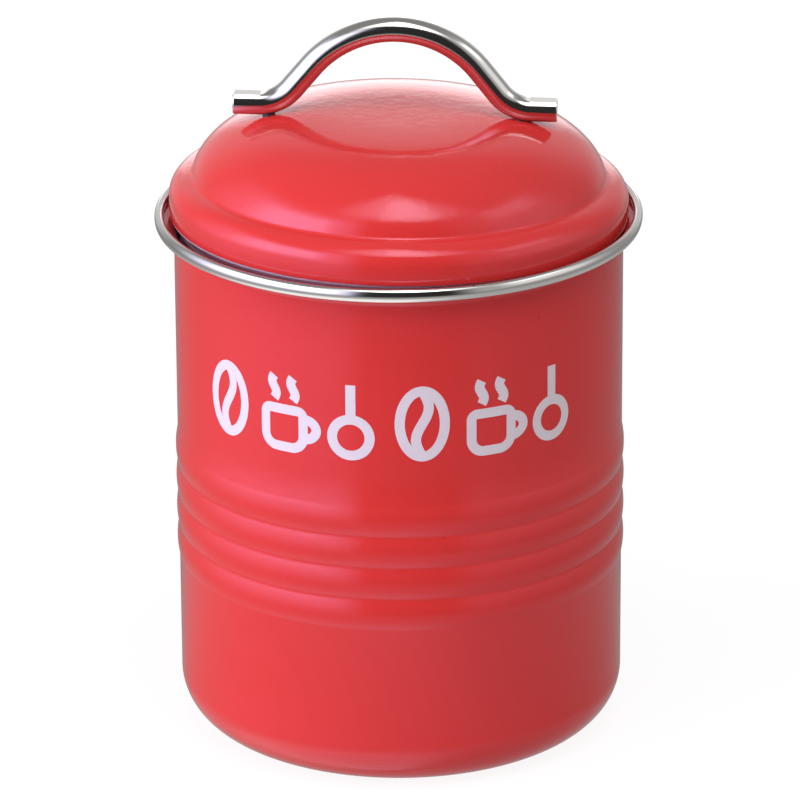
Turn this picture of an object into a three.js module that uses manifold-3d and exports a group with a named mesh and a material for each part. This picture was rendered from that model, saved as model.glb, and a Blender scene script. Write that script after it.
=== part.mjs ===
// A round kitchen canister for coffee: a deep-drawn, red-coated steel can with four rolled ribs
// and a bright trim ring round its mouth, and a domed push-in lid that carries a silicone seal
// and a handle bent from round bar. Millimetres, +Z up, origin on the ground under the axis.
import * as THREE from "three";
import { mergeVertices } from "three/addons/utils/BufferGeometryUtils.js";
import Module from "manifold-3d";

const wasm = await Module();
wasm.setup();

// ---- driving dimensions ------------------------------------------------------------------
const CLEARANCE = 0.3; // between pieces that touch on the real object
const SHEET = 0.8; // coated steel sheet of the can and the lid
const FINE_SIDES = 56; // facets round the can, the trim ring and the lid
const COARSE_SIDES = 48; // facets round the pieces inside the lid
const SCREW_SIDES = 20;

const CAN_RADIUS = 53.0;
const CORNER_RADIUS = 12.3; // drawn corner between wall and base
const BASE_PANEL_RADIUS = 34.0; // the middle of the base is raised inside a flat standing ring
const BASE_PANEL_RISE = 1.2;

const RIB_COUNT = 4;
const RIB_PITCH = 7.8;
const RIB_HEIGHT = 0.5;
const TOP_RIB_Z = 69.2; // crest of the highest rib

const FLARE_START_Z = 122.3; // where the wall starts to flare out to the lip
const FLARE_ANGLE = THREE.MathUtils.degToRad(80);
const LIP_RADIUS = 56.85; // outside of the upright lip inside the trim ring
const LIP_TOP_Z = 127.1;

const RING_OUTER_RADIUS = 57.5;
const RING_INNER_RADIUS = 55.4;
const RING_BOTTOM_Z = 124.8;
const RING_INNER_BOTTOM_Z = 126.4;
const RING_TOP_Z = 128.0;
const RING_SHEET = 0.35;
const RING_JOINT_ANGLE = THREE.MathUtils.degToRad(-72.5); // butt joint of the rolled strip

const LID_RADIUS = 54.1;
const SKIRT_BOTTOM_Z = 126.7;
const SKIRT_TOP_Z = 131.0;
const CREASE_RADIUS = 48.8; // the crease between shoulder and dome
const CREASE_Z = 136.0;
const DOME_TOP_Z = 151.3;
const DOME_RADIUS_POWER = 0.479; // powers of 1 would make the dome half an ellipse
const DOME_HEIGHT_POWER = 1.287;

const LID_PIVOT_Z = 125.0; // the lid is pressed in slightly askew about this height
const LID_TILT_RIGHT = THREE.MathUtils.degToRad(1.1); // its left side stands proud
const LID_TILT_BACK = THREE.MathUtils.degToRad(1.2); // and so does its front

const HANDLE_TURN = THREE.MathUtils.degToRad(-2.6); // the handle is turned and set a little
const HANDLE_SHIFT = -1.2; // off the middle of the lid
const HANDLE_DIAMETER = 5.9;
const HANDLE_HALF_SPAN = 38.0;
const FOOT_FLAT_X = 31.0; // outside this the top of the foot is pressed flat
const FOOT_FLAT_HEIGHT = 2.25; // over the bar's centre line
const FOOT_INNER_X = 31.9; // where the level foot ends and the bar starts to rise
const FOOT_BOTTOM_Z = 150.1;
const BEND_RADIUS = 9.9; // centre line, at the foot
const LEG_ANGLE = THREE.MathUtils.degToRad(50.9);
const ARCH_RADIUS = 25.4; // centre line, at the top

const SCREW_X = 29.6; // from the middle of the handle
const SCREW_RADIUS = 1.5;
const SCREW_HEAD_RADIUS = 2.9;
const SCREW_HEAD_HEIGHT = 2.0;
const SCREW_DEPTH_IN_FOOT = 3.2;
const SCREW_HOLE_RADIUS = SCREW_RADIUS + CLEARANCE;
const WASHER_RADIUS = 3.4;
const WASHER_THICKNESS = 0.6;

const PAN_RADIUS = 49.5;
const PAN_SHEET = 0.6;
const PAN_BOTTOM_Z = 114.5;
const PAN_FLANGE_RADIUS = 52.7;
const PAN_FLANGE_Z = 126.9;
const PAN_CORNER_RADIUS = 3.0;
const PAN_PANEL_RADIUS = 34.0;
const PAN_PANEL_RISE = 1.2;

const SEAL_RADIUS = 51.1; // body of the seal, between its fins
const SEAL_FIN_RADIUS = 51.6;
const SEAL_FIN_HEIGHTS = [117.6, 120.2, 122.8];
const SEAL_FIN_HALF_THICKNESS = 0.5;
const SEAL_BOTTOM_Z = 115.9;
const SEAL_COLLAR_TOP_RADIUS = 53.0; // the collar widens upwards, as the can's mouth does
const SEAL_COLLAR_BOTTOM_RADIUS = 51.7;
const SEAL_COLLAR_BOTTOM_Z = 124.4;

// ---- materials ---------------------------------------------------------------------------
const material = (color, roughness, metalness) =>
  new THREE.MeshStandardMaterial({ color, roughness, metalness });
const redCoat = () => material(0xc9252c, 0.22, 0.0);
const polishedSteel = () => material(0xd9d7d2, 0.08, 1.0);
const plainSteel = () => material(0xb4b4b2, 0.35, 1.0);
const greySilicone = () => material(0x8d7f88, 0.5, 0.0);

// ---- shape helpers -----------------------------------------------------------------------
const point = (r, z) => new THREE.Vector2(r, z);

// Points on an arc round (r, z), from one angle to another, ends included.
function arc(r, z, radius, from, to, steps) {
  return Array.from({ length: steps + 1 }, (_, i) => {
    const angle = from + ((to - from) * i) / steps;
    return point(r + radius * Math.cos(angle), z + radius * Math.sin(angle));
  });
}

// A copy of an open profile, moved to its left by a distance.
function offsetProfile(profile, distance) {
  return profile.map((p, i) => {
    const before = profile[Math.max(i - 1, 0)];
    const after = profile[Math.min(i + 1, profile.length - 1)];
    const along = after.clone().sub(before).normalize();
    return point(p.x - along.y * distance, p.y + along.x * distance);
  });
}

// A solid of revolution about Z. The profile runs anticlockwise in the (radius, height) plane.
function revolve(profile, sides) {
  return new THREE.LatheGeometry(profile, sides).rotateX(Math.PI / 2);
}

const closed = (profile) => [...profile, profile[0].clone()];

function toSolid(geometry) {
  const plain = geometry.index ? geometry.toNonIndexed() : geometry.clone();
  plain.deleteAttribute("normal");
  plain.deleteAttribute("uv");
  const merged = mergeVertices(plain, 1e-4);
  const mesh = new wasm.Mesh({
    numProp: 3,
    vertProperties: merged.attributes.position.array,
    triVerts: new Uint32Array(merged.index.array),
  });
  return new wasm.Manifold(mesh);
}

function toGeometry(solid) {
  const mesh = solid.getMesh();
  const geometry = new THREE.BufferGeometry();
  const positions = new THREE.BufferAttribute(mesh.vertProperties, mesh.numProp);
  geometry.setAttribute("position", positions);
  geometry.setIndex(new THREE.BufferAttribute(mesh.triVerts, 1));
  const faceted = geometry.toNonIndexed();
  faceted.computeVertexNormals();
  return faceted;
}

// An upright cylinder between two heights.
function upright(radius, low, high, x, y) {
  return new THREE.CylinderGeometry(radius, radius, high - low, SCREW_SIDES)
    .rotateX(Math.PI / 2)
    .translate(x, y, (low + high) / 2);
}

function named(name, geometry, look) {
  const mesh = new THREE.Mesh(geometry, look);
  mesh.name = name;
  return mesh;
}

// ---- can ---------------------------------------------------------------------------------
// One side of the sheet, from the middle of the base to the lip. inset is 0 for the outside
// and SHEET for the inside, so that the rolled ribs show on both sides.
function canSide(inset, ribSteps) {
  const wall = CAN_RADIUS - inset;
  const cornerCentre = CAN_RADIUS - CORNER_RADIUS;
  const side = [
    point(0, BASE_PANEL_RISE + inset),
    point(BASE_PANEL_RADIUS, BASE_PANEL_RISE + inset),
    point(BASE_PANEL_RADIUS + BASE_PANEL_RISE, inset),
    ...arc(cornerCentre, CORNER_RADIUS, CORNER_RADIUS - inset, -Math.PI / 2, 0, 6),
  ];

  const lowestRibZ = TOP_RIB_Z - (RIB_COUNT - 1) * RIB_PITCH;
  for (let rib = 0; rib < RIB_COUNT; rib++) {
    const crest = lowestRibZ + rib * RIB_PITCH;
    for (let step = 0; step < ribSteps; step++) {
      const across = (2 * step) / ribSteps - 1; // -1 to 1 over one rib
      const bulge = RIB_HEIGHT * (1 - across * across);
      side.push(point(wall + bulge, crest + (across * RIB_PITCH) / 2));
    }
  }
  side.push(point(wall, TOP_RIB_Z + RIB_PITCH / 2));
  side.push(...flare(inset));
  side.push(point(LIP_RADIUS - inset, LIP_TOP_Z));
  return side;
}

// The S-shaped flare: the wall curves out, runs straight, and turns up again at the lip.
function flare(inset) {
  const lowerBend = 1.9;
  const upperBend = 1.1 + SHEET;
  const sideways = LIP_RADIUS - CAN_RADIUS;
  const bendShift = (lowerBend + upperBend - SHEET) * (1 - Math.cos(FLARE_ANGLE));
  const straight = (sideways - bendShift) / Math.sin(FLARE_ANGLE);
  const lower = arc(
    CAN_RADIUS + lowerBend,
    FLARE_START_Z,
    lowerBend + inset,
    Math.PI,
    Math.PI - FLARE_ANGLE,
    3,
  );
  const rise =
    (lowerBend + upperBend - SHEET) * Math.sin(FLARE_ANGLE) + straight * Math.cos(FLARE_ANGLE);
  const upper = arc(
    LIP_RADIUS - upperBend + SHEET,
    FLARE_START_Z + rise,
    upperBend - SHEET - inset,
    -Math.PI / 2 + (Math.PI / 2 - FLARE_ANGLE),
    0,
    2,
  );
  return [...lower, ...upper];
}

function canBody() {
  const outside = canSide(0, 4);
  const inside = canSide(SHEET, 2).reverse();
  return named("can_body", revolve([...outside, ...inside], FINE_SIDES), redCoat());
}

// ---- trim ring ---------------------------------------------------------------------------
// A channel of thin stainless strip, hooked over the lip, with a half-round top.
function rimRing() {
  const middle = (RING_OUTER_RADIUS + RING_INNER_RADIUS) / 2;
  const halfWidth = (RING_OUTER_RADIUS - RING_INNER_RADIUS) / 2;
  const topCentreZ = RING_TOP_Z - halfWidth;
  const waist = 0.25; // the foot of the outer leg tucks in under the bead
  const profile = closed([
    point(RING_OUTER_RADIUS - RING_SHEET, RING_BOTTOM_Z),
    point(RING_OUTER_RADIUS - waist / 2, RING_BOTTOM_Z),
    point(RING_OUTER_RADIUS, RING_BOTTOM_Z + waist),
    ...arc(middle, topCentreZ, halfWidth, 0, Math.PI, 7),
    point(RING_INNER_RADIUS, RING_INNER_BOTTOM_Z),
    point(RING_INNER_RADIUS + RING_SHEET, RING_INNER_BOTTOM_Z),
    ...arc(middle, topCentreZ, halfWidth - RING_SHEET, Math.PI, 0, 4),
  ]);
  const nickWidth = 0.4;
  const nickDepth = 1.2;
  const nick = new THREE.BoxGeometry(nickDepth, nickWidth, nickDepth)
    .translate(RING_INNER_RADIUS, 0, RING_TOP_Z - 0.2)
    .rotateZ(RING_JOINT_ANGLE);
  const ring = toSolid(revolve(profile, FINE_SIDES)).subtract(toSolid(nick));
  return named("rim_ring", toGeometry(ring), polishedSteel());
}

// ---- lid shell ---------------------------------------------------------------------------
// The outside of the lid, from the bottom of its skirt to the top of the dome.
function lidOutside(shoulderSteps, domeSteps) {
  const outside = [
    point(LID_RADIUS - 0.2, SKIRT_BOTTOM_Z),
    point(LID_RADIUS, SKIRT_BOTTOM_Z + 1.6),
  ];
  for (let step = 0; step <= shoulderSteps; step++) {
    const angle = ((Math.PI / 2) * step) / shoulderSteps;
    const r = CREASE_RADIUS + (LID_RADIUS - CREASE_RADIUS) * Math.cos(angle);
    outside.push(point(r, SKIRT_TOP_Z + (CREASE_Z - SKIRT_TOP_Z) * Math.sin(angle)));
  }
  for (let step = 1; step <= domeSteps; step++) {
    const angle = ((Math.PI / 2) * step) / domeSteps;
    const out = step < domeSteps ? Math.cos(angle) ** DOME_RADIUS_POWER : 0;
    const up = Math.sin(angle) ** DOME_HEIGHT_POWER;
    outside.push(point(CREASE_RADIUS * out, CREASE_Z + (DOME_TOP_Z - CREASE_Z) * up));
  }
  return outside;
}

function lidShell(screwPlaces) {
  const outside = lidOutside(5, 9);
  const inside = offsetProfile(outside, SHEET).reverse();
  inside[0].x = 0;
  inside[inside.length - 1].y = SKIRT_BOTTOM_Z;
  let shell = toSolid(revolve([...inside, ...outside], FINE_SIDES));
  for (const { x, y } of screwPlaces) {
    const hole = upright(SCREW_HOLE_RADIUS, SKIRT_TOP_Z, DOME_TOP_Z, x, y);
    shell = shell.subtract(toSolid(hole));
  }
  return named("lid_shell", toGeometry(shell), redCoat());
}

// ---- inside of the lid -------------------------------------------------------------------
// A shallow drawn pan that closes the dome and carries the seal round its wall.
function lidInnerPan() {
  const side = (inset) => [
    point(0, PAN_BOTTOM_Z + PAN_PANEL_RISE + inset),
    point(PAN_PANEL_RADIUS, PAN_BOTTOM_Z + PAN_PANEL_RISE + inset),
    point(PAN_PANEL_RADIUS + PAN_PANEL_RISE, PAN_BOTTOM_Z + inset),
    ...arc(
      PAN_RADIUS - PAN_CORNER_RADIUS,
      PAN_BOTTOM_Z + PAN_CORNER_RADIUS,
      PAN_CORNER_RADIUS - inset,
      -Math.PI / 2,
      0,
      3,
    ),
    point(PAN_RADIUS - inset, PAN_FLANGE_Z + inset),
    point(PAN_FLANGE_RADIUS, PAN_FLANGE_Z + inset),
  ];
  const profile = [...side(0), ...side(PAN_SHEET).reverse()];
  return named("lid_inner_pan", revolve(profile, COARSE_SIDES), plainSteel());
}

// The silicone seal: a sleeve with three wiping fins and a wider collar under the lid's edge.
function lidGasket() {
  const inner = PAN_RADIUS + CLEARANCE;
  const top = PAN_FLANGE_Z - CLEARANCE;
  const outside = [point(inner, SEAL_BOTTOM_Z), point(SEAL_RADIUS, SEAL_BOTTOM_Z)];
  for (const z of SEAL_FIN_HEIGHTS) {
    outside.push(point(SEAL_RADIUS, z - SEAL_FIN_HALF_THICKNESS));
    outside.push(point(SEAL_FIN_RADIUS, z));
    outside.push(point(SEAL_RADIUS, z + SEAL_FIN_HALF_THICKNESS));
  }
  outside.push(point(SEAL_RADIUS, SEAL_COLLAR_BOTTOM_Z - 0.8));
  outside.push(point(SEAL_COLLAR_BOTTOM_RADIUS, SEAL_COLLAR_BOTTOM_Z));
  outside.push(point(SEAL_COLLAR_TOP_RADIUS - 0.2, top - 0.4));
  outside.push(point(SEAL_COLLAR_TOP_RADIUS - 0.4, top));
  outside.push(point(inner, top));
  return named("lid_gasket", revolve(closed(outside), COARSE_SIDES), greySilicone());
}

// ---- handle ------------------------------------------------------------------------------
// The centre line of the bar in the XZ plane: foot, bend, leg, arch, leg, bend, foot.
class HandleLine extends THREE.Curve {
  constructor() {
    super();
    this.footZ = FOOT_BOTTOM_Z + HANDLE_DIAMETER / 2;
    const sine = Math.sin(LEG_ANGLE);
    const cosine = Math.cos(LEG_ANGLE);
    this.leg = (FOOT_INNER_X - (BEND_RADIUS + ARCH_RADIUS) * sine) / cosine;
    this.rise = (BEND_RADIUS + ARCH_RADIUS) * (1 - cosine) + this.leg * sine;
    this.lengths = [
      HANDLE_HALF_SPAN - FOOT_INNER_X,
      BEND_RADIUS * LEG_ANGLE,
      this.leg,
      ARCH_RADIUS * LEG_ANGLE,
    ];
    this.halfLength = this.lengths.reduce((sum, length) => sum + length, 0);
  }

  // A point of the right half, at a distance along the bar from its outer end.
  halfPoint(distance) {
    const [foot, bend, leg] = this.lengths;
    if (distance < foot) return [HANDLE_HALF_SPAN - distance, 0];
    let rest = distance - foot;
    if (rest < bend) {
      const angle = rest / BEND_RADIUS;
      return [FOOT_INNER_X - BEND_RADIUS * Math.sin(angle), BEND_RADIUS * (1 - Math.cos(angle))];
    }
    rest -= bend;
    if (rest < leg) {
      const x = FOOT_INNER_X - BEND_RADIUS * Math.sin(LEG_ANGLE) - rest * Math.cos(LEG_ANGLE);
      const z = BEND_RADIUS * (1 - Math.cos(LEG_ANGLE)) + rest * Math.sin(LEG_ANGLE);
      return [x, z];
    }
    const angle = LEG_ANGLE - (rest - leg) / ARCH_RADIUS;
    return [ARCH_RADIUS * Math.sin(angle), this.rise - ARCH_RADIUS * (1 - Math.cos(angle))];
  }

  getPoint(t, target = new THREE.Vector3()) {
    const distance = 2 * this.halfLength * t;
    const onLeft = distance < this.halfLength;
    const [x, z] = this.halfPoint(onLeft ? distance : 2 * this.halfLength - distance);
    return target.set(onLeft ? -x : x, 0, this.footZ + z);
  }
}

const barSection = () => {
  const sides = 18;
  const last = (2 * Math.PI * (sides - 1)) / sides;
  return new THREE.Shape(arc(0, 0, HANDLE_DIAMETER / 2, 0, last, sides - 1));
};

function lidHandle() {
  const bar = new THREE.ExtrudeGeometry(barSection(), {
    steps: 42,
    bevelEnabled: false,
    extrudePath: new HandleLine(),
  });
  let solid = toSolid(bar);
  const flatZ = FOOT_BOTTOM_Z + HANDLE_DIAMETER / 2 + FOOT_FLAT_HEIGHT;
  const pressedLength = HANDLE_HALF_SPAN - FOOT_FLAT_X + 1;
  for (const side of [-1, 1]) {
    const pressed = new THREE.BoxGeometry(pressedLength, HANDLE_DIAMETER + 2, 4);
    pressed.translate(side * (FOOT_FLAT_X + pressedLength / 2), 0, flatZ + 2);
    solid = solid.subtract(toSolid(pressed));
    const top = FOOT_BOTTOM_Z + SCREW_DEPTH_IN_FOOT + CLEARANCE;
    const hole = upright(SCREW_HOLE_RADIUS, FOOT_BOTTOM_Z - 1, top, side * SCREW_X, 0);
    solid = solid.subtract(toSolid(hole));
  }
  return named("lid_handle", toGeometry(solid), polishedSteel());
}

// ---- fixings of one handle foot ----------------------------------------------------------
const screwInsideZ = (x) => {
  const outermost = Math.abs(x) + WASHER_RADIUS;
  const outside = lidOutside(8, 40);
  const near = outside.find((p) => p.y > CREASE_Z && p.x < outermost);
  return near.y - 2 * SHEET - CLEARANCE;
};

function handleScrew(side, { x, y }) {
  const headTop = screwInsideZ(x) - WASHER_THICKNESS - CLEARANCE;
  const headBottom = headTop - SCREW_HEAD_HEIGHT;
  const tip = FOOT_BOTTOM_Z + SCREW_DEPTH_IN_FOOT;
  const profile = [
    point(0, headBottom),
    point(SCREW_HEAD_RADIUS * 0.75, headBottom),
    point(SCREW_HEAD_RADIUS, headBottom + SCREW_HEAD_HEIGHT * 0.5),
    point(SCREW_HEAD_RADIUS, headTop),
    point(SCREW_RADIUS, headTop),
    point(SCREW_RADIUS, tip - SCREW_RADIUS * 0.4),
    point(SCREW_RADIUS * 0.6, tip),
    point(0, tip),
  ];
  const slot = [
    new THREE.BoxGeometry(SCREW_HEAD_RADIUS * 1.3, 0.8, 1.6),
    new THREE.BoxGeometry(0.8, SCREW_HEAD_RADIUS * 1.3, 1.6),
  ];
  let screw = toSolid(revolve(profile, SCREW_SIDES));
  for (const bar of slot) screw = screw.subtract(toSolid(bar.translate(0, 0, headBottom)));
  const mesh = named("handle_screw_" + side, toGeometry(screw), plainSteel());
  mesh.position.set(x, y, 0);
  return mesh;
}

function screwWasher(side, { x, y }) {
  const top = screwInsideZ(x);
  const profile = closed([
    point(SCREW_HOLE_RADIUS, top - WASHER_THICKNESS),
    point(WASHER_RADIUS, top - WASHER_THICKNESS),
    point(WASHER_RADIUS, top),
    point(SCREW_HOLE_RADIUS, top),
  ]);
  const mesh = named("screw_washer_" + side, revolve(profile, SCREW_SIDES), plainSteel());
  mesh.position.set(x, y, 0);
  return mesh;
}

// ---- assembly ----------------------------------------------------------------------------
// The handle is turned and shifted as one piece, and the screws follow its holes.
function onHandle(x) {
  return {
    x: x * Math.cos(HANDLE_TURN) + HANDLE_SHIFT,
    y: x * Math.sin(HANDLE_TURN),
  };
}

function lidAssembly() {
  const screws = { left: onHandle(-SCREW_X), right: onHandle(SCREW_X) };

  const handle = new THREE.Group();
  handle.rotation.z = HANDLE_TURN;
  handle.position.x = HANDLE_SHIFT;
  handle.add(lidHandle());

  const level = new THREE.Group(); // the lid as it is built, sitting level
  level.position.z = -LID_PIVOT_Z;
  level.add(lidShell(Object.values(screws)), lidInnerPan(), lidGasket(), handle);
  for (const [side, place] of Object.entries(screws)) {
    level.add(handleScrew(side, place), screwWasher(side, place));
  }

  const askew = new THREE.Group();
  askew.position.z = LID_PIVOT_Z;
  askew.rotation.set(-LID_TILT_BACK, LID_TILT_RIGHT, 0);
  askew.add(level);
  return askew;
}

const canister = new THREE.Group();
canister.add(canBody(), rimRing(), lidAssembly());

export default canister;
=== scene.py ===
"""Looks of a red kitchen canister: domed push-in lid, bright rim ring, arched steel handle.

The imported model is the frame. Turned and bent pieces are made again here with fine steps, on the
same dimensions and in the same places. Lengths in the tables below are millimetres.
"""

import math

import bmesh
import bpy
from mathutils import Euler, Matrix, Vector


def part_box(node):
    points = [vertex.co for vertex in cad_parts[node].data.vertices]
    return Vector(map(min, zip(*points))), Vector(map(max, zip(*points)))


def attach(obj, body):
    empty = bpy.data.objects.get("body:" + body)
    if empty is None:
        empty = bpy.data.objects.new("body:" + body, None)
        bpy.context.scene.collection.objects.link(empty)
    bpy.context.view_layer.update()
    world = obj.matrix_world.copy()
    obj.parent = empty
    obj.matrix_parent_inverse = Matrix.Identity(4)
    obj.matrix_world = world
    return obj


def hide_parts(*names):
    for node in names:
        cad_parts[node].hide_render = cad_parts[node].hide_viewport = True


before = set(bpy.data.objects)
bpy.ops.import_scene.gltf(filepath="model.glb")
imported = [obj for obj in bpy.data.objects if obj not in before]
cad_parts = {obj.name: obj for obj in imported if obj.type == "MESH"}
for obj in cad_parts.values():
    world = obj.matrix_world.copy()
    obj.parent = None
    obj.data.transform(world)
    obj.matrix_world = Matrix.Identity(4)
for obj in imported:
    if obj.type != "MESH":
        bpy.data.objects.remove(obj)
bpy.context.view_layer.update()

# ---- dimensions ---------------------------------------------------------------------------
RING_OUTER_RADIUS = 57.5
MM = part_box("rim_ring")[1].x / RING_OUTER_RADIUS  # metres in one millimetre of the tables below

SHEET = 0.8
CAN_RADIUS = 53.0
CORNER_RADIUS = 12.3
BASE_PANEL_RADIUS = 34.0
BASE_PANEL_RISE = 1.2
BASE_EDGE_RADIUS = 1.0
BASE_EDGE_END = 0.8  # radians, where the round edge meets the slope of the panel
PLAIN_WALL_HEIGHTS = (80, 95, 110)
RIB_COUNT = 4
RIB_PITCH = 7.8
RIB_HEIGHT = 0.5
TOP_RIB_Z = 69.2
FLARE_START_Z = 122.3
FLARE_ANGLE = math.radians(80)
FLARE_LOWER_BEND = 1.9
FLARE_UPPER_BEND = 1.1
LIP_RADIUS = 56.85
LIP_TOP_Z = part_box("can_body")[1].z / MM

RING_INNER_RADIUS = 55.4
RING_BOTTOM_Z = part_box("rim_ring")[0].z / MM
RING_INNER_BOTTOM_Z = 126.4
RING_TOP_Z = 128.0
RING_CROWN = 1.55  # height of the top over the ring's widest line
RING_LOWER_POWER = 0.7
RING_SHEET = 0.35
RING_JOINT_ANGLE = math.radians(-72.5)
NICK_HALF_ANGLE = math.radians(0.32)
NICK_DEPTH = 0.34

LID_RADIUS = 54.1
SKIRT_BOTTOM_Z = 126.7
SKIRT_TOP_Z = 131.0
SKIRT_LEAD_HEIGHT = 1.6
SKIRT_LEAD_INSET = 0.2
CREASE_RADIUS = 48.8
CREASE_Z = 136.0
CREASE_FILLET = 1.0
DOME_TOP_Z = 151.3
DOME_RADIUS_POWER = 0.479
DOME_HEIGHT_POWER = 1.287
LID_PIVOT_Z = 125.0
LID_TILT = Euler((math.radians(-1.2), math.radians(1.1), 0), "XYZ")

HANDLE_TURN = math.radians(-2.6)
HANDLE_SHIFT = -1.2
HANDLE_DIAMETER = 5.9
HANDLE_HALF_SPAN = 38.0
FOOT_FLAT_X = 31.0
FOOT_FLAT_HEIGHT = 2.25
FOOT_SCOOP_LENGTH = 4.2
FOOT_SCOOP_LEAD = 0.6
FOOT_INNER_X = 31.9
FOOT_BOTTOM_Z = 149.9  # 0.2 below the solid bar, to rest on the dome
BEND_RADIUS = 9.9
LEG_ANGLE = math.radians(50.9)
ARCH_RADIUS = 25.4
BAR_END_BEVEL = 0.3

PAN_RADIUS = 49.5
PAN_SHEET = 0.6
PAN_BOTTOM_Z = 114.5
PAN_FLANGE_RADIUS = 52.7
PAN_FLANGE_Z = 126.9
PAN_CORNER_RADIUS = 3.0
PAN_PANEL_RADIUS = 34.0
PAN_PANEL_RISE = 1.2

SEAL_INNER_RADIUS = 49.8
SEAL_RADIUS = 51.1
SEAL_FIN_RADIUS = 51.6
SEAL_FIN_HEIGHTS = (117.6, 120.2, 122.8)
SEAL_FIN_HALF_THICKNESS = 0.5
SEAL_FIN_TIP_RADIUS = 0.2
SEAL_FIN_TIP_ANGLE = 1.2
SEAL_BOTTOM_Z = 115.9
SEAL_TOP_Z = 126.6
SEAL_COLLAR_TOP_RADIUS = 53.0
SEAL_COLLAR_BOTTOM_RADIUS = 51.7
SEAL_COLLAR_BOTTOM_Z = 124.4
SEAL_COLLAR_SLOPE_HEIGHT = 0.8
SEAL_COLLAR_CORNER_RADIUS = 0.4
SEAL_BULGE = 0.9
SEAL_BULGE_RISE = 2  # height over which the bulge grows
SEAL_BULGE_ANGLE = math.radians(-140)

ROUND_SIDES = 240
SHARP_ANGLE = math.radians(38)

# The lid's own frame: built level, then pressed in slightly askew about this height.
PIVOT = Matrix.Translation((0, 0, LID_PIVOT_Z * MM))
LID_FRAME = PIVOT @ LID_TILT.to_matrix().to_4x4() @ PIVOT.inverted()
HANDLE_FRAME = (
    LID_FRAME
    @ Matrix.Translation((HANDLE_SHIFT * MM, 0, 0))
    @ Matrix.Rotation(HANDLE_TURN, 4, "Z")
)


# ---- camera -------------------------------------------------------------------------------
CAMERA_ELEVATION = math.radians(21.31)
CAMERA_DISTANCE = 1.5  # metres
CAMERA_AIM = (0.08, 0, 79.03)
CAMERA_ROLL = -0.006
FOCAL_OVER_FRAME = 6293.5 / 800


def make_camera():
    data = bpy.data.cameras.new("camera")
    data.sensor_width = 36.0
    data.lens = FOCAL_OVER_FRAME * data.sensor_width
    data.clip_end = 50
    camera = bpy.data.objects.new("camera", data)
    bpy.context.scene.collection.objects.link(camera)
    back = Vector((0, -math.cos(CAMERA_ELEVATION), math.sin(CAMERA_ELEVATION)))
    camera.matrix_world = (
        Matrix.Translation(Vector(CAMERA_AIM) * MM + back * CAMERA_DISTANCE)
        @ Matrix.Rotation(math.pi / 2 - CAMERA_ELEVATION, 4, "X")
        @ Matrix.Rotation(CAMERA_ROLL, 4, "Z")
    )
    bpy.context.scene.camera = camera


# ---- mesh helpers -------------------------------------------------------------------------
def arc(r, z, radius, start, end, steps):
    """Points on an arc round (r, z), ends included."""
    angles = [start + (end - start) * i / steps for i in range(steps + 1)]
    return [(r + radius * math.cos(a), z + radius * math.sin(a)) for a in angles]


def offset(profile, distance):
    """A copy of an open profile, moved to its left."""
    moved = []
    for i, (r, z) in enumerate(profile):
        before = profile[max(i - 1, 0)]
        after = profile[min(i + 1, len(profile) - 1)]
        along = Vector((after[0] - before[0], after[1] - before[1])).normalized()
        moved.append((r - along.y * distance, z + along.x * distance))
    return moved


def add_object(name, mesh, matrix=None):
    mesh.update()
    for face in mesh.polygons:
        face.use_smooth = True
    mesh.set_sharp_from_angle(angle=SHARP_ANGLE)
    made = bpy.data.objects.new(name, mesh)
    bpy.context.scene.collection.objects.link(made)
    if matrix is not None:
        made.matrix_world = matrix
    return made


def revolve(name, profile, matrix=None, closed=False, extra_angles=(), shape=None):
    """A solid of revolution about Z. An open profile starts and ends on the axis."""
    angles = [2 * math.pi * i / ROUND_SIDES for i in range(ROUND_SIDES)]
    angles = sorted(angles + [a % (2 * math.pi) for a in extra_angles])
    verts = []
    rings = []
    for r, z in profile:
        if r < 1e-6:
            rings.append([len(verts)] * len(angles))
            verts.append((0, 0, z * MM))
            continue
        rings.append(list(range(len(verts), len(verts) + len(angles))))
        for a in angles:
            out, up = shape(a, r, z) if shape else (r, z)
            verts.append((out * math.cos(a) * MM, out * math.sin(a) * MM, up * MM))
    faces = []
    pairs = list(zip(rings, rings[1:] + rings[:1]))
    for low, high in pairs if closed else pairs[:-1]:
        for i in range(len(angles)):
            j = (i + 1) % len(angles)
            corners = [low[i], low[j], high[j], high[i]]
            face = [v for n, v in enumerate(corners) if v != corners[n - 1]]
            if len(face) > 2:
                faces.append(face)
    mesh = bpy.data.meshes.new(name)
    mesh.from_pydata(verts, [], faces)
    return add_object(name, mesh, matrix)


# ---- can ----------------------------------------------------------------------------------
def can_side(inset):
    """Side of the can from the middle of its base to its lip, moved in by the inset."""
    wall = CAN_RADIUS - inset
    centre = CAN_RADIUS - CORNER_RADIUS
    side = [(0, BASE_PANEL_RISE + inset)]
    side += arc(
        BASE_PANEL_RADIUS - BASE_EDGE_RADIUS,
        BASE_PANEL_RISE + inset - BASE_EDGE_RADIUS,
        BASE_EDGE_RADIUS,
        math.pi / 2,
        BASE_EDGE_END,
        4,
    )
    side += [(BASE_PANEL_RADIUS + BASE_PANEL_RISE, inset)]
    side += arc(centre, CORNER_RADIUS, CORNER_RADIUS - inset, -math.pi / 2, 0, 28)
    lowest = TOP_RIB_Z - (RIB_COUNT - 1) * RIB_PITCH
    steps = 14
    for rib in range(RIB_COUNT):
        for step in range(steps):
            across = 2 * step / steps - 1
            bulge = RIB_HEIGHT * (1 - across * across)
            side.append((wall + bulge, lowest + rib * RIB_PITCH + across * RIB_PITCH / 2))
    side.append((wall, TOP_RIB_Z + RIB_PITCH / 2))
    side += [(wall, z) for z in PLAIN_WALL_HEIGHTS]
    return side + flare(inset) + [(LIP_RADIUS - inset, LIP_TOP_Z)]


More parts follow.
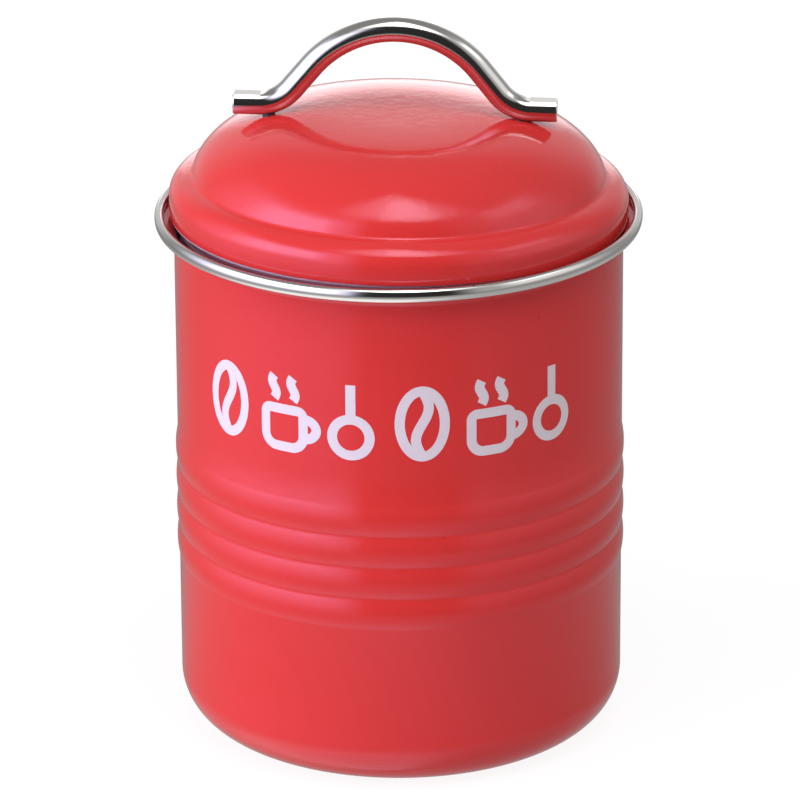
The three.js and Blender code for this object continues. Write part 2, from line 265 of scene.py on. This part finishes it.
def flare(inset):
    """Two bends with a short slope between them, from the wall out to the lip."""
    both = FLARE_LOWER_BEND + FLARE_UPPER_BEND
    bends_reach = both * (1 - math.cos(FLARE_ANGLE))
    straight = (LIP_RADIUS - CAN_RADIUS - bends_reach) / math.sin(FLARE_ANGLE)
    rise = both * math.sin(FLARE_ANGLE) + straight * math.cos(FLARE_ANGLE)
    lower = arc(
        CAN_RADIUS + FLARE_LOWER_BEND,
        FLARE_START_Z,
        FLARE_LOWER_BEND + inset,
        math.pi,
        math.pi - FLARE_ANGLE,
        10,
    )
    upper = arc(
        LIP_RADIUS - FLARE_UPPER_BEND,
        FLARE_START_Z + rise,
        FLARE_UPPER_BEND - inset,
        -FLARE_ANGLE,
        0,
        6,
    )
    return lower + upper


def make_can():
    profile = can_side(0) + can_side(SHEET)[::-1]
    can = revolve("can_shell", profile)
    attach(can, "can")
    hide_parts("can_body")
    return can


def make_ring():
    middle = (RING_OUTER_RADIUS + RING_INNER_RADIUS) / 2
    half = (RING_OUTER_RADIUS - RING_INNER_RADIUS) / 2
    top = RING_TOP_Z - half

    def section(thinner):
        """Outside of the strip from its lower edge over the top to its inner edge."""
        out, widest = half - thinner, RING_TOP_Z - RING_CROWN
        points = []
        for i in range(13):
            a = math.pi / 2 * (i / 12 - 1)
            drop = (widest - RING_BOTTOM_Z - thinner) * math.sin(a)
            points.append((middle + out * math.cos(a) ** RING_LOWER_POWER, widest + drop))
        for i in range(1, 29):
            a = math.pi / 2 * i / 28
            rise = (RING_TOP_Z - thinner - widest) * math.sin(a)
            points.append((middle + out * math.cos(a), widest + rise))
        inner = arc(middle, top, out, math.pi / 2, math.pi, 14)[1:]
        return [p for p in points if p[0] > middle + out * 0.5 or p[1] > top] + inner

    profile = section(0) + [(RING_INNER_RADIUS, RING_INNER_BOTTOM_Z)]
    profile += [(RING_INNER_RADIUS + RING_SHEET, RING_INNER_BOTTOM_Z)]
    profile += section(RING_SHEET)[::-1]

    def nick(angle, r, z):
        """The strip's butt joint: a tiny notch on the inner side of its top."""
        off = abs((angle - RING_JOINT_ANGLE + math.pi) % (2 * math.pi) - math.pi)
        high = max(0.0, min(1.0, (z - top) / half))
        inner = max(0.0, min(1.0, (middle + 0.35 - r) / 0.5))
        depth = NICK_DEPTH * max(0.0, 1 - off / NICK_HALF_ANGLE) ** 0.6 * high * inner
        return r + depth * 0.6, z - depth

    extra = [RING_JOINT_ANGLE + NICK_HALF_ANGLE * i / 4 for i in range(-5, 6)]
    ring = revolve("trim_ring", profile, closed=True, extra_angles=extra, shape=nick)
    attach(ring, "can")
    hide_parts("rim_ring")
    return ring


# ---- lid ----------------------------------------------------------------------------------
def lid_outside():
    """Skirt, quarter-ellipse shoulder, filleted crease and superelliptic dome, up to the axis."""
    shoulder = []
    for step in range(33):
        a = math.pi / 2 * step / 32
        r = CREASE_RADIUS + (LID_RADIUS - CREASE_RADIUS) * math.cos(a)
        shoulder.append((r, SKIRT_TOP_Z + (CREASE_Z - SKIRT_TOP_Z) * math.sin(a)))
    dome = []
    steps = 80
    for step in range(1, steps + 1):
        a = math.pi / 2 * step / steps
        out = math.cos(a) ** DOME_RADIUS_POWER if step < steps else 0
        up = math.sin(a) ** DOME_HEIGHT_POWER
        dome.append((CREASE_RADIUS * out, CREASE_Z + (DOME_TOP_Z - CREASE_Z) * up))
    crease = Vector((CREASE_RADIUS, CREASE_Z))
    shoulder = [p for p in shoulder if (Vector(p) - crease).length > CREASE_FILLET]
    dome = [p for p in dome if (Vector(p) - crease).length > CREASE_FILLET]
    start, end = Vector(shoulder[-1]), Vector(dome[0])
    fillet = []
    for step in range(1, 8):
        t = step / 8
        fillet.append(tuple(start * (1 - t) ** 2 + crease * 2 * t * (1 - t) + end * t * t))
    skirt = [
        (LID_RADIUS - SKIRT_LEAD_INSET, SKIRT_BOTTOM_Z),
        (LID_RADIUS, SKIRT_BOTTOM_Z + SKIRT_LEAD_HEIGHT),
    ]
    return skirt + shoulder + fillet + dome


def make_lid():
    outside = lid_outside()
    inside = offset(outside, SHEET)[::-1]
    inside[0] = (0, inside[0][1])
    inside[-1] = (inside[-1][0], SKIRT_BOTTOM_Z)
    lid = revolve("lid_dome", inside + outside, LID_FRAME)
    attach(lid, "lid")
    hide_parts("lid_shell")
    return lid


def make_pan():
    def side(inset):
        points = [(0, PAN_BOTTOM_Z + PAN_PANEL_RISE + inset)]
        points += [(PAN_PANEL_RADIUS, PAN_BOTTOM_Z + PAN_PANEL_RISE + inset)]
        points += [(PAN_PANEL_RADIUS + PAN_PANEL_RISE, PAN_BOTTOM_Z + inset)]
        points += arc(
            PAN_RADIUS - PAN_CORNER_RADIUS,
            PAN_BOTTOM_Z + PAN_CORNER_RADIUS,
            PAN_CORNER_RADIUS - inset,
            -math.pi / 2,
            0,
            12,
        )
        points += [(PAN_RADIUS - inset, PAN_FLANGE_Z + inset)]
        return points + [(PAN_FLANGE_RADIUS, PAN_FLANGE_Z + inset)]

    pan = revolve("lid_pan", side(0) + side(PAN_SHEET)[::-1], LID_FRAME)
    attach(pan, "lid")
    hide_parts("lid_inner_pan")
    return pan


def make_seal():
    side = [(SEAL_INNER_RADIUS, SEAL_BOTTOM_Z), (SEAL_RADIUS, SEAL_BOTTOM_Z)]
    for z in SEAL_FIN_HEIGHTS:
        side.append((SEAL_RADIUS, z - SEAL_FIN_HALF_THICKNESS))
        side += arc(
            SEAL_FIN_RADIUS - SEAL_FIN_TIP_RADIUS,
            z,
            SEAL_FIN_TIP_RADIUS,
            -SEAL_FIN_TIP_ANGLE,
            SEAL_FIN_TIP_ANGLE,
            4,
        )
        side.append((SEAL_RADIUS, z + SEAL_FIN_HALF_THICKNESS))
    side.append((SEAL_RADIUS, SEAL_COLLAR_BOTTOM_Z - SEAL_COLLAR_SLOPE_HEIGHT))
    side.append((SEAL_COLLAR_BOTTOM_RADIUS, SEAL_COLLAR_BOTTOM_Z))
    side += arc(
        SEAL_COLLAR_TOP_RADIUS - SEAL_COLLAR_CORNER_RADIUS,
        SEAL_TOP_Z - SEAL_COLLAR_CORNER_RADIUS,
        SEAL_COLLAR_CORNER_RADIUS,
        0,
        math.pi / 2,
        5,
    )
    side.append((SEAL_INNER_RADIUS, SEAL_TOP_Z))

    def bulge(angle, r, z):
        """The collar stands out where the lid's edge is highest, at the front left."""
        if r <= SEAL_RADIUS:
            return r, z
        high = max(0.0, min(1.0, (z - SEAL_COLLAR_BOTTOM_Z) / SEAL_BULGE_RISE))
        return r + SEAL_BULGE * high * max(0.0, math.cos(angle - SEAL_BULGE_ANGLE)), z

    seal = revolve("lid_seal", side, LID_FRAME, closed=True, shape=bulge)
    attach(seal, "lid")
    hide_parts("lid_gasket")
    return seal


# ---- handle -------------------------------------------------------------------------------
def handle_line():
    """Centre line of the bar as (x, z, slope), from the left foot to the right one."""
    sine, cosine = math.sin(LEG_ANGLE), math.cos(LEG_ANGLE)
    leg = (FOOT_INNER_X - (BEND_RADIUS + ARCH_RADIUS) * sine) / cosine
    rise = (BEND_RADIUS + ARCH_RADIUS) * (1 - cosine) + leg * sine
    foot_z = FOOT_BOTTOM_Z + HANDLE_DIAMETER / 2
    half = []
    for i in range(16):
        half.append((HANDLE_HALF_SPAN + (FOOT_INNER_X - HANDLE_HALF_SPAN) * i / 16, 0, 0))
    for i in range(24):
        a = LEG_ANGLE * i / 24
        half.append((FOOT_INNER_X - BEND_RADIUS * math.sin(a), BEND_RADIUS * (1 - math.cos(a)), a))
    for i in range(8):
        d = leg * i / 8
        x = FOOT_INNER_X - BEND_RADIUS * sine - d * cosine
        half.append((x, BEND_RADIUS * (1 - cosine) + d * sine, LEG_ANGLE))
    for i in range(33):
        a = LEG_ANGLE * (1 - i / 32)
        half.append((ARCH_RADIUS * math.sin(a), rise - ARCH_RADIUS * (1 - math.cos(a)), a))
    left = [(-x, foot_z + z, slope) for x, z, slope in half]
    right = [(x, foot_z + z, -slope) for x, z, slope in half[-2::-1]]
    return left + right


def bar_section(shrink):
    """Round, as (across, along the depth), with extra corners where the flat starts."""
    radius = HANDLE_DIAMETER / 2 - shrink
    edge = math.acos(FOOT_FLAT_HEIGHT / (HANDLE_DIAMETER / 2))
    top = [-edge + edge * i / 5 for i in range(11)]
    rest = [edge + (2 * math.pi - 2 * edge) * i / 40 for i in range(1, 40)]
    return [(radius * math.cos(a), radius * math.sin(a)) for a in top + rest]


def foot_flat(x):
    """Height of the pressed flat over the centre line. It ends in a small scoop."""
    into = min(1, max(0, (FOOT_FLAT_X + FOOT_SCOOP_LEAD - abs(x)) / FOOT_SCOOP_LENGTH))
    depth = HANDLE_DIAMETER / 2 - FOOT_FLAT_HEIGHT
    return FOOT_FLAT_HEIGHT + depth * into * into * (3 - 2 * into)


def make_handle():
    line = handle_line()
    bevel = BAR_END_BEVEL
    stations = []  # (how much thinner, how far in from the end)
    for step in range(4):
        a = math.pi / 2 * step / 4
        stations.append((bevel * (1 - math.sin(a)), bevel * (1 - math.cos(a))))
    first, last = line[0], line[-1]
    path = [(first[0] + along, first[1], first[2], shrink) for shrink, along in stations]
    path += [(first[0] + bevel, first[1], first[2], 0)]
    path += [(x, z, slope, 0) for x, z, slope in line[1:-1]]
    path += [(last[0] - bevel, last[1], last[2], 0)]
    path += [(last[0] - along, last[1], last[2], shrink) for shrink, along in stations[::-1]]
    verts = []
    count = len(bar_section(0))
    for x, z, slope, shrink in path:
        for thick, deep in bar_section(shrink):
            thick = min(thick, foot_flat(x) - shrink * 0.5)
            dx, dz = -thick * math.sin(slope), thick * math.cos(slope)
            verts.append(((x + dx) * MM, deep * MM, (z + dz) * MM))
    faces = []
    for ring in range(len(path) - 1):
        for i in range(count):
            j = (i + 1) % count
            a, b = ring * count, (ring + 1) * count
            faces.append((a + i, b + i, b + j, a + j))
    faces.append(tuple(range(count)))
    faces.append(tuple(reversed(range((len(path) - 1) * count, len(path) * count))))
    mesh = bpy.data.meshes.new("handle_bar")
    mesh.from_pydata(verts, [], faces)
    fix_normals(mesh)
    handle = add_object("handle_bar", mesh, HANDLE_FRAME)
    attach(handle, "lid")
    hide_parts("lid_handle")
    return handle


def fix_normals(mesh):
    work = bmesh.new()
    work.from_mesh(mesh)
    bmesh.ops.recalc_face_normals(work, faces=work.faces)
    work.to_mesh(mesh)
    work.free()


# ---- printed pictograms -------------------------------------------------------------------
PRINT_MIDDLE_Z = 93.65
PRINT_HEIGHT = 18.5
PRINT_MIDDLE_U = -3.1  # along the wall, from the front
PRINT_SPACING = 16.6
STROKE = 2.35
RIBBON_STEP = 0.6
SHARPEST_MITER = 1.6
INK_THICKNESS = 0.06
INK_LAYER_STEP = 0.01  # each further stroke of a pictogram lies this much higher
INK_UNDERSIDE = 0.005


def ellipse(cx, cz, a, b, start=0.0, end=2 * math.pi, steps=48):
    return [
        (
            cx + a * math.cos(start + (end - start) * i / steps),
            cz + b * math.sin(start + (end - start) * i / steps),
        )
        for i in range(steps + 1)
    ]


def bean():
    """A coffee bean: an oval outline and its S-shaped furrow."""
    half_width, sway = 6.4, 1.5
    a, b = half_width - STROKE / 2, PRINT_HEIGHT / 2 - STROKE / 2
    furrow = []
    for i in range(25):
        t = i / 24 * 2 - 1
        furrow.append((sway * math.sin(t * math.pi), t * b))
    return [(ellipse(0, 0, a, b), True), (furrow, False)]


def mug():
    """A mug with its ear, and two wisps of steam."""
    half, top, low, bend, brim = 5.0, 1.2, -PRINT_HEIGHT / 2 + STROKE / 2, 3.0, 1.4
    body = ellipse(-half + brim, top - brim, brim, brim, 0.5 * math.pi, math.pi, 6)
    body += ellipse(-half + bend, low + bend, bend, bend, math.pi, 1.5 * math.pi, 8)
    body += ellipse(half - bend, low + bend, bend, bend, 1.5 * math.pi, 2 * math.pi, 8)
    body += ellipse(half - brim, top - brim, brim, brim, 0, 0.5 * math.pi, 6)
    body.append(body[0])
    ear = ellipse(half, (top + low) / 2 + 0.5, 3.3, 2.5, -math.pi / 2, math.pi / 2, 16)
    strokes = [(body, True), (ear, False)]
    steam_low, sway = 3.6, 0.55
    for x in (-2.5, 2.5):
        wisp = []
        for i in range(17):
            t = i / 16
            z = steam_low + t * (PRINT_HEIGHT / 2 - steam_low)
            wisp.append((x + sway * math.sin(t * 2 * math.pi), z))
        strokes.append((wisp, False))
    return strokes


def scoop():
    """A measuring spoon, seen from above."""
    half_bowl = 5.6 - STROKE / 2
    middle = -PRINT_HEIGHT / 2 + STROKE / 2 + half_bowl
    bowl = ellipse(0, middle, half_bowl, half_bowl, math.pi / 2, 2.5 * math.pi)
    stem_low = middle + half_bowl
    stem = [(0, stem_low + (PRINT_HEIGHT / 2 - stem_low) * i / 6) for i in range(7)]
    return [(bowl, True), (stem, False)]


def stroke_ribbon(points, is_closed):
    """Left and right edges of a stroke of constant width along a line."""
    fine = [points[0]]
    for a, b in zip(points, points[1:]):
        count = max(1, math.ceil(math.dist(a, b) / RIBBON_STEP))
        for i in range(1, count + 1):
            fine.append((a[0] + (b[0] - a[0]) * i / count, a[1] + (b[1] - a[1]) * i / count))
    points = fine
    if is_closed and math.dist(points[0], points[-1]) < 0.01:
        points = points[:-1]
    count = len(points)
    left, right = [], []
    for i, (x, z) in enumerate(points):
        if is_closed:
            before, after = points[i - 1], points[(i + 1) % count]
        else:
            before, after = points[max(i - 1, 0)], points[min(i + 1, count - 1)]
        into = Vector((x - before[0], z - before[1]))
        out = Vector((after[0] - x, after[1] - z))
        into = into.normalized() if into.length > 1e-9 else out.normalized()
        out = out.normalized() if out.length > 1e-9 else into
        along = (into + out).normalized()
        miter = min(SHARPEST_MITER, 1 / max(0.5, along.dot(into)))
        side = Vector((-along.y, along.x)) * STROKE / 2 * miter
        left.append((x + side.x, z + side.y))
        right.append((x - side.x, z - side.y))
    return left, right


def on_wall(u, z, lift):
    """A point of the flat artwork, wrapped round the front of the can."""
    a = -math.pi / 2 + u / CAN_RADIUS
    r = (CAN_RADIUS + lift) * MM
    return (r * math.cos(a), r * math.sin(a), (PRINT_MIDDLE_Z + z) * MM)


def make_print():
    verts, faces = [], []
    for place, icon in enumerate((bean, mug, scoop, bean, mug, scoop)):
        centre = (place - 2.5) * PRINT_SPACING + PRINT_MIDDLE_U
        for layer, (points, is_closed) in enumerate(icon()):
            left, right = stroke_ribbon(points, is_closed)
            lifted = INK_THICKNESS + INK_LAYER_STEP * layer
            start = len(verts)
            for (lx, lz), (rx, rz) in zip(left, right):
                for x, z, lift in (
                    (lx, lz, INK_UNDERSIDE),
                    (lx, lz, lifted),
                    (rx, rz, lifted),
                    (rx, rz, INK_UNDERSIDE),
                ):
                    verts.append(on_wall(centre + x, z, lift))
            count = len(left)
            for i in range(count if is_closed else count - 1):
                a, b = start + 4 * i, start + 4 * ((i + 1) % count)
                for k in range(4):
                    n = (k + 1) % 4
                    faces.append((a + k, a + n, b + n, b + k))
            if not is_closed:
                end = start + 4 * (count - 1)
                faces.append((start, start + 3, start + 2, start + 1))
                faces.append((end, end + 1, end + 2, end + 3))
    mesh = bpy.data.meshes.new("front_print")
    mesh.from_pydata(verts, [], faces)
    fix_normals(mesh)
    made = add_object("front_print", mesh)
    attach(made, "can")
    return made


# ---- materials ----------------------------------------------------------------------------
class Nodes:
    """Short hand for wiring shader nodes.

    In add(), a name that starts with _ is a setting of the node, i0, i1 and so on are its inputs by
    number, and any other name is an input by name.
    """

    def __init__(self, tree):
        self.tree = tree
        tree.nodes.clear()

    def add(self, kind, **inputs):
        node = self.tree.nodes.new(kind)
        for key, value in inputs.items():
            if key.startswith("_"):
                setattr(node, key[1:], value)
                continue
            which = int(key[1:]) if key[1:].isdigit() else key.replace("_", " ")
            self.put(node.inputs[which], value)
        return node

    def put(self, socket, value):
        if isinstance(value, bpy.types.NodeSocket):
            self.tree.links.new(value, socket)
        else:
            socket.default_value = value

    def math(self, operation, a, b=0.0):
        return self.add("ShaderNodeMath", _operation=operation, i0=a, i1=b).outputs[0]

    def ramp(self, value, low, high, out_low=0.0, out_high=1.0):
        node = self.add("ShaderNodeMapRange", _interpolation_type="SMOOTHSTEP")
        for name, v in (
            ("Value", value),
            ("From Min", low),
            ("From Max", high),
            ("To Min", out_low),
            ("To Max", out_high),
        ):
            self.put(node.inputs[name], v)
        return node.outputs[0]

    def noise(self, scale, detail=2.0, stretch=(1, 1, 1)):
        place = self.add("ShaderNodeTexCoord").outputs["Object"]
        mapping = self.add("ShaderNodeMapping", Vector=place, Scale=stretch)
        node = self.add("ShaderNodeTexNoise", Vector=mapping.outputs[0], Scale=scale, Detail=detail)
        return node.outputs[0]

    def mix(self, factor, a, b):
        node = self.add("ShaderNodeMix", _data_type="RGBA")
        self.put(node.inputs[0], factor)
        self.put(node.inputs[6], a)
        self.put(node.inputs[7], b)
        return node.outputs[2]

    def bump(self, height, strength, distance):
        node = self.add("ShaderNodeBump", Height=height, Strength=strength, Distance=distance)
        return node.outputs[0]


def new_material(name):
    made = bpy.data.materials.new(name)
    made.use_nodes = True
    nodes = Nodes(made.node_tree)
    shader = nodes.add("ShaderNodeBsdfPrincipled")
    output = nodes.add("ShaderNodeOutputMaterial")
    nodes.put(output.inputs[0], shader.outputs[0])
    return made, nodes, shader


def red_coat():
    """Glossy powder coat: a little orange peel, faint cloudiness, and a few specks."""
    made, nodes, shader = new_material("red_powder_coat")
    cloud = nodes.noise(45, 3)
    speck = nodes.ramp(nodes.noise(700, 0), 0.9, 0.93)
    base = nodes.mix(cloud, (0.66, 0.036, 0.032, 1), (0.70, 0.039, 0.035, 1))
    nodes.put(shader.inputs["Base Color"], nodes.mix(speck, base, (0.54, 0.026, 0.026, 1)))
    nodes.put(shader.inputs["Roughness"], nodes.ramp(nodes.noise(220, 3), 0.3, 0.7, 0.09, 0.13))
    nodes.put(shader.inputs["IOR"], 1.5)
    nodes.put(shader.inputs["Specular Tint"], (1.0, 0.75, 1.0, 1))
    fine_peel = nodes.math("MULTIPLY", nodes.noise(1500, 1), 0.35)
    peel = nodes.math("ADD", nodes.noise(420, 2), fine_peel)
    nodes.put(shader.inputs["Normal"], nodes.bump(peel, 0.10, 0.0004))
    return made


def polished_steel():
    """Mirror-polished stainless steel with the faint lines of the buffing wheel."""
    made, nodes, shader = new_material("polished_stainless")
    nodes.put(shader.inputs["Metallic"], 1.0)
    lines = nodes.noise(2600, 2, (0.04, 1, 1))
    haze = nodes.noise(120, 3)
    nodes.put(
        shader.inputs["Base Color"],
        nodes.mix(haze, (0.67, 0.65, 0.625, 1), (0.73, 0.71, 0.685, 1)),
    )
    nodes.put(shader.inputs["Roughness"], nodes.ramp(lines, 0.3, 0.75, 0.08, 0.14))
    nodes.put(shader.inputs["Normal"], nodes.bump(lines, 0.02, 0.0001))
    return made


def dark_screw_steel_painted_gap_shade():
    """Near-black steel of the screws and washers. This is painted shade: the screw seen in the gap
    under each handle foot reads as a dark contact shadow.
    """
    made, nodes, shader = new_material("screw_steel_painted_gap_shade")
    grain = nodes.noise(900, 3)
    # Painted shade: this near-black colour stands in for the contact shadow under the handle's
    # feet.
    nodes.put(
        shader.inputs["Base Color"],
        nodes.mix(grain, (0.02, 0.02, 0.022, 1), (0.035, 0.034, 0.036, 1)),
    )
    nodes.put(shader.inputs["Roughness"], nodes.ramp(grain, 0.3, 0.7, 0.35, 0.5))
    nodes.put(shader.inputs["Normal"], nodes.bump(grain, 0.1, 0.0001))
    return made


def plain_steel():
    """Satin stainless steel, brushed round the axis."""
    made, nodes, shader = new_material("satin_stainless")
    nodes.put(shader.inputs["Metallic"], 1.0)
    place = nodes.add("ShaderNodeTexCoord").outputs["Object"]
    split = nodes.add("ShaderNodeSeparateXYZ", Vector=place)
    x, y, z = split.outputs[0], split.outputs[1], split.outputs[2]
    squares = nodes.math("ADD", nodes.math("MULTIPLY", x, x), nodes.math("MULTIPLY", y, y))
    joined = nodes.add("ShaderNodeCombineXYZ", X=nodes.math("SQRT", squares), Y=z, Z=0.0)
    rings = nodes.add("ShaderNodeTexNoise", Vector=joined.outputs[0], Scale=2400.0, Detail=2.0)
    rings = rings.outputs[0]
    haze = nodes.noise(90, 3)
    nodes.put(
        shader.inputs["Base Color"],
        nodes.mix(haze, (0.52, 0.52, 0.51, 1), (0.62, 0.62, 0.61, 1)),
    )
    nodes.put(shader.inputs["Roughness"], nodes.ramp(rings, 0.3, 0.7, 0.26, 0.40))
    nodes.put(shader.inputs["Normal"], nodes.bump(rings, 0.15, 0.0001))
    return made


def grey_silicone():
    """Matt grey silicone, slightly cloudy. Its mauve tint is painted reflection of the red lid and
    can round it.
    """
    made, nodes, shader = new_material("grey_silicone_painted_red_reflection")
    cloud = nodes.noise(160, 3)
    # Painted reflection: the mauve in these grey colours stands in for the red paint reflected in
    # the silicone.
    nodes.put(
        shader.inputs["Base Color"],
        nodes.mix(cloud, (0.38, 0.24, 0.30, 1), (0.45, 0.30, 0.36, 1)),
    )
    nodes.put(shader.inputs["Roughness"], nodes.ramp(nodes.noise(900, 2), 0.3, 0.7, 0.42, 0.56))
    nodes.put(shader.inputs["Normal"], nodes.bump(nodes.noise(2500, 2), 0.1, 0.0001))
    return made


def white_ink():
    """Screen-printed ink, slightly uneven."""
    made, nodes, shader = new_material("screen_print_ink")
    cloud = nodes.noise(380, 4)
    nodes.put(
        shader.inputs["Base Color"],
        nodes.mix(cloud, (0.70, 0.60, 0.64, 1), (0.76, 0.66, 0.70, 1)),
    )
    nodes.put(shader.inputs["Roughness"], nodes.ramp(nodes.noise(1500, 2), 0.3, 0.7, 0.38, 0.52))
    nodes.put(shader.inputs["Normal"], nodes.bump(cloud, 0.1, 0.0001))
    return made


def paint(obj, material):
    obj.data.materials.clear()
    obj.data.materials.append(material)


# ---- studio -------------------------------------------------------------------------------
FLOOR_HALF_SIZE = 12.0  # metres


def make_floor():
    """A pale floor that stays white. It is left out of reflections and bounced light, which come
    from the world's own floor zones."""
    size = FLOOR_HALF_SIZE
    mesh = bpy.data.meshes.new("floor")
    corners = [(-size, -size, 0), (size, -size, 0), (size, size, 0), (-size, size, 0)]
    mesh.from_pydata(corners, [], [(0, 1, 2, 3)])
    floor = bpy.data.objects.new("floor", mesh)
    bpy.context.scene.collection.objects.link(floor)
    made, nodes, shader = new_material("pale_floor")
    nodes.put(shader.inputs["Base Color"], (0.12, 0.12, 0.12, 1))
    nodes.put(shader.inputs["Roughness"], 1.0)
    nodes.put(shader.inputs["Specular IOR Level"], 0.0)
    nodes.put(shader.inputs["Emission Color"], (1, 1, 1, 1))
    nodes.put(shader.inputs["Emission Strength"], 0.9)
    paint(floor, made)
    floor.visible_glossy = False
    floor.visible_diffuse = False


# Directions in degrees. Azimuth 0 is in front of the can (-Y) and grows to the right. Each zone is
# (azimuth from, azimuth to, elevation from, elevation to), each as (edge, half its softness) or
# None where the zone runs on, then the radiance that it adds to the surround, and its colour.
SURROUND = 0.3
WHITE = (1.0, 1.0, 1.0)
COOL = (0.96, 0.96, 1.28)
LIGHT_ZONES = {
    "left softbox": (((-84, 16), (-40, 5), (2, 10), (36, 7)), 2.6, COOL),
    "its spill": (((-102, 30), (-26, 12), (-15, 15), (42, 10)), 1.8, COOL),
    "overhead softbox": (((-11, 9), (27, 9), (47, 3.5), (80, 8)), 2.8, WHITE),
    "its spill above": (((-38, 20), (45, 20), (50, 8), None), 2.5, WHITE),
    "right reflector": (((52, 8), (100, 15), (0, 8), (46, 5)), 0.5, WHITE),
    "its top": (((60, 8), (95, 8), (32, 5), (46, 4)), 0.85, WHITE),
    "right wall": (((28, 6), (115, 25), (-15, 10), (55, 10)), 0.2, WHITE),
    "backdrop, right half": (((168, 6), None, (-4, 4), (13, 4.5)), 1.9, WHITE),
    "backdrop, left half": ((None, (-168, 6), (-4, 4), (13, 4.5)), 1.9, WHITE),
    "its glow, right half": (((140, 20), None, (-10, 8), (34, 12)), 0.4, WHITE),
    "its glow, left half": ((None, (-140, 20), (-10, 8), (34, 12)), 0.4, WHITE),
    "floor": ((None, None, None, (-27, 7)), 0.2, WHITE),
    "floor on the left": (((-120, 30), (22, 25), None, (-40, 8)), 0.75, WHITE),
    "dark of the room": (((-22, 3), (34, 8), (-22, 6), (43, 3)), -0.27, WHITE),
}


def make_world():
    """Soft light from all round with the zones added. The camera itself sees plain white."""
    world = bpy.data.worlds.new("studio")
    bpy.context.scene.world = world
    world.use_nodes = True
    nodes = Nodes(world.node_tree)
    direction = nodes.add("ShaderNodeTexCoord").outputs["Generated"]
    split = nodes.add("ShaderNodeSeparateXYZ", Vector=direction)
    x, y, z = split.outputs[0], split.outputs[1], split.outputs[2]
    azimuth = nodes.math("ARCTAN2", x, nodes.math("MULTIPLY", y, -1.0))
    azimuth = nodes.math("MULTIPLY", azimuth, 180 / math.pi)
    elevation = nodes.math("MULTIPLY", nodes.math("ARCSINE", z), 180 / math.pi)
    level = (SURROUND, SURROUND, SURROUND)
    sides = (
        (azimuth, (0.0, 1.0)),
        (azimuth, (1.0, 0.0)),
        (elevation, (0.0, 1.0)),
        (elevation, (1.0, 0.0)),
    )
    for edges, radiance, colour in LIGHT_ZONES.values():
        part = radiance
        for (value, ends), edge in zip(sides, edges):
            if edge is not None:
                at, soft = edge
                part = nodes.math("MULTIPLY", part, nodes.ramp(value, at - soft, at + soft, *ends))
        added = nodes.add(
            "ShaderNodeVectorMath", _operation="MULTIPLY_ADD", i0=part, i1=colour, i2=level
        )
        level = added.outputs[0]
    seen = nodes.add("ShaderNodeLightPath").outputs["Is Camera Ray"]
    background = nodes.add("ShaderNodeBackground", Color=nodes.mix(seen, level, (1, 1, 1, 1)))
    output = nodes.add("ShaderNodeOutputWorld")
    nodes.put(output.inputs[0], background.outputs[0])


make_camera()
red = red_coat()
steel = polished_steel()
satin = plain_steel()
gap_shade_screw_steel = dark_screw_steel_painted_gap_shade()
paint(make_can(), red)
paint(make_ring(), steel)
paint(make_lid(), red)
paint(make_pan(), satin)
paint(make_seal(), grey_silicone())
paint(make_handle(), steel)
paint(make_print(), white_ink())
# The screws and washers get the near-black steel, which is painted shade in the gap under the
# handle's feet.
for node in ("handle_screw_left", "handle_screw_right", "screw_washer_left", "screw_washer_right"):
    paint(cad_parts[node], gap_shade_screw_steel)
make_floor()
make_world()
bpy.context.scene.view_settings.view_transform = "Standard"
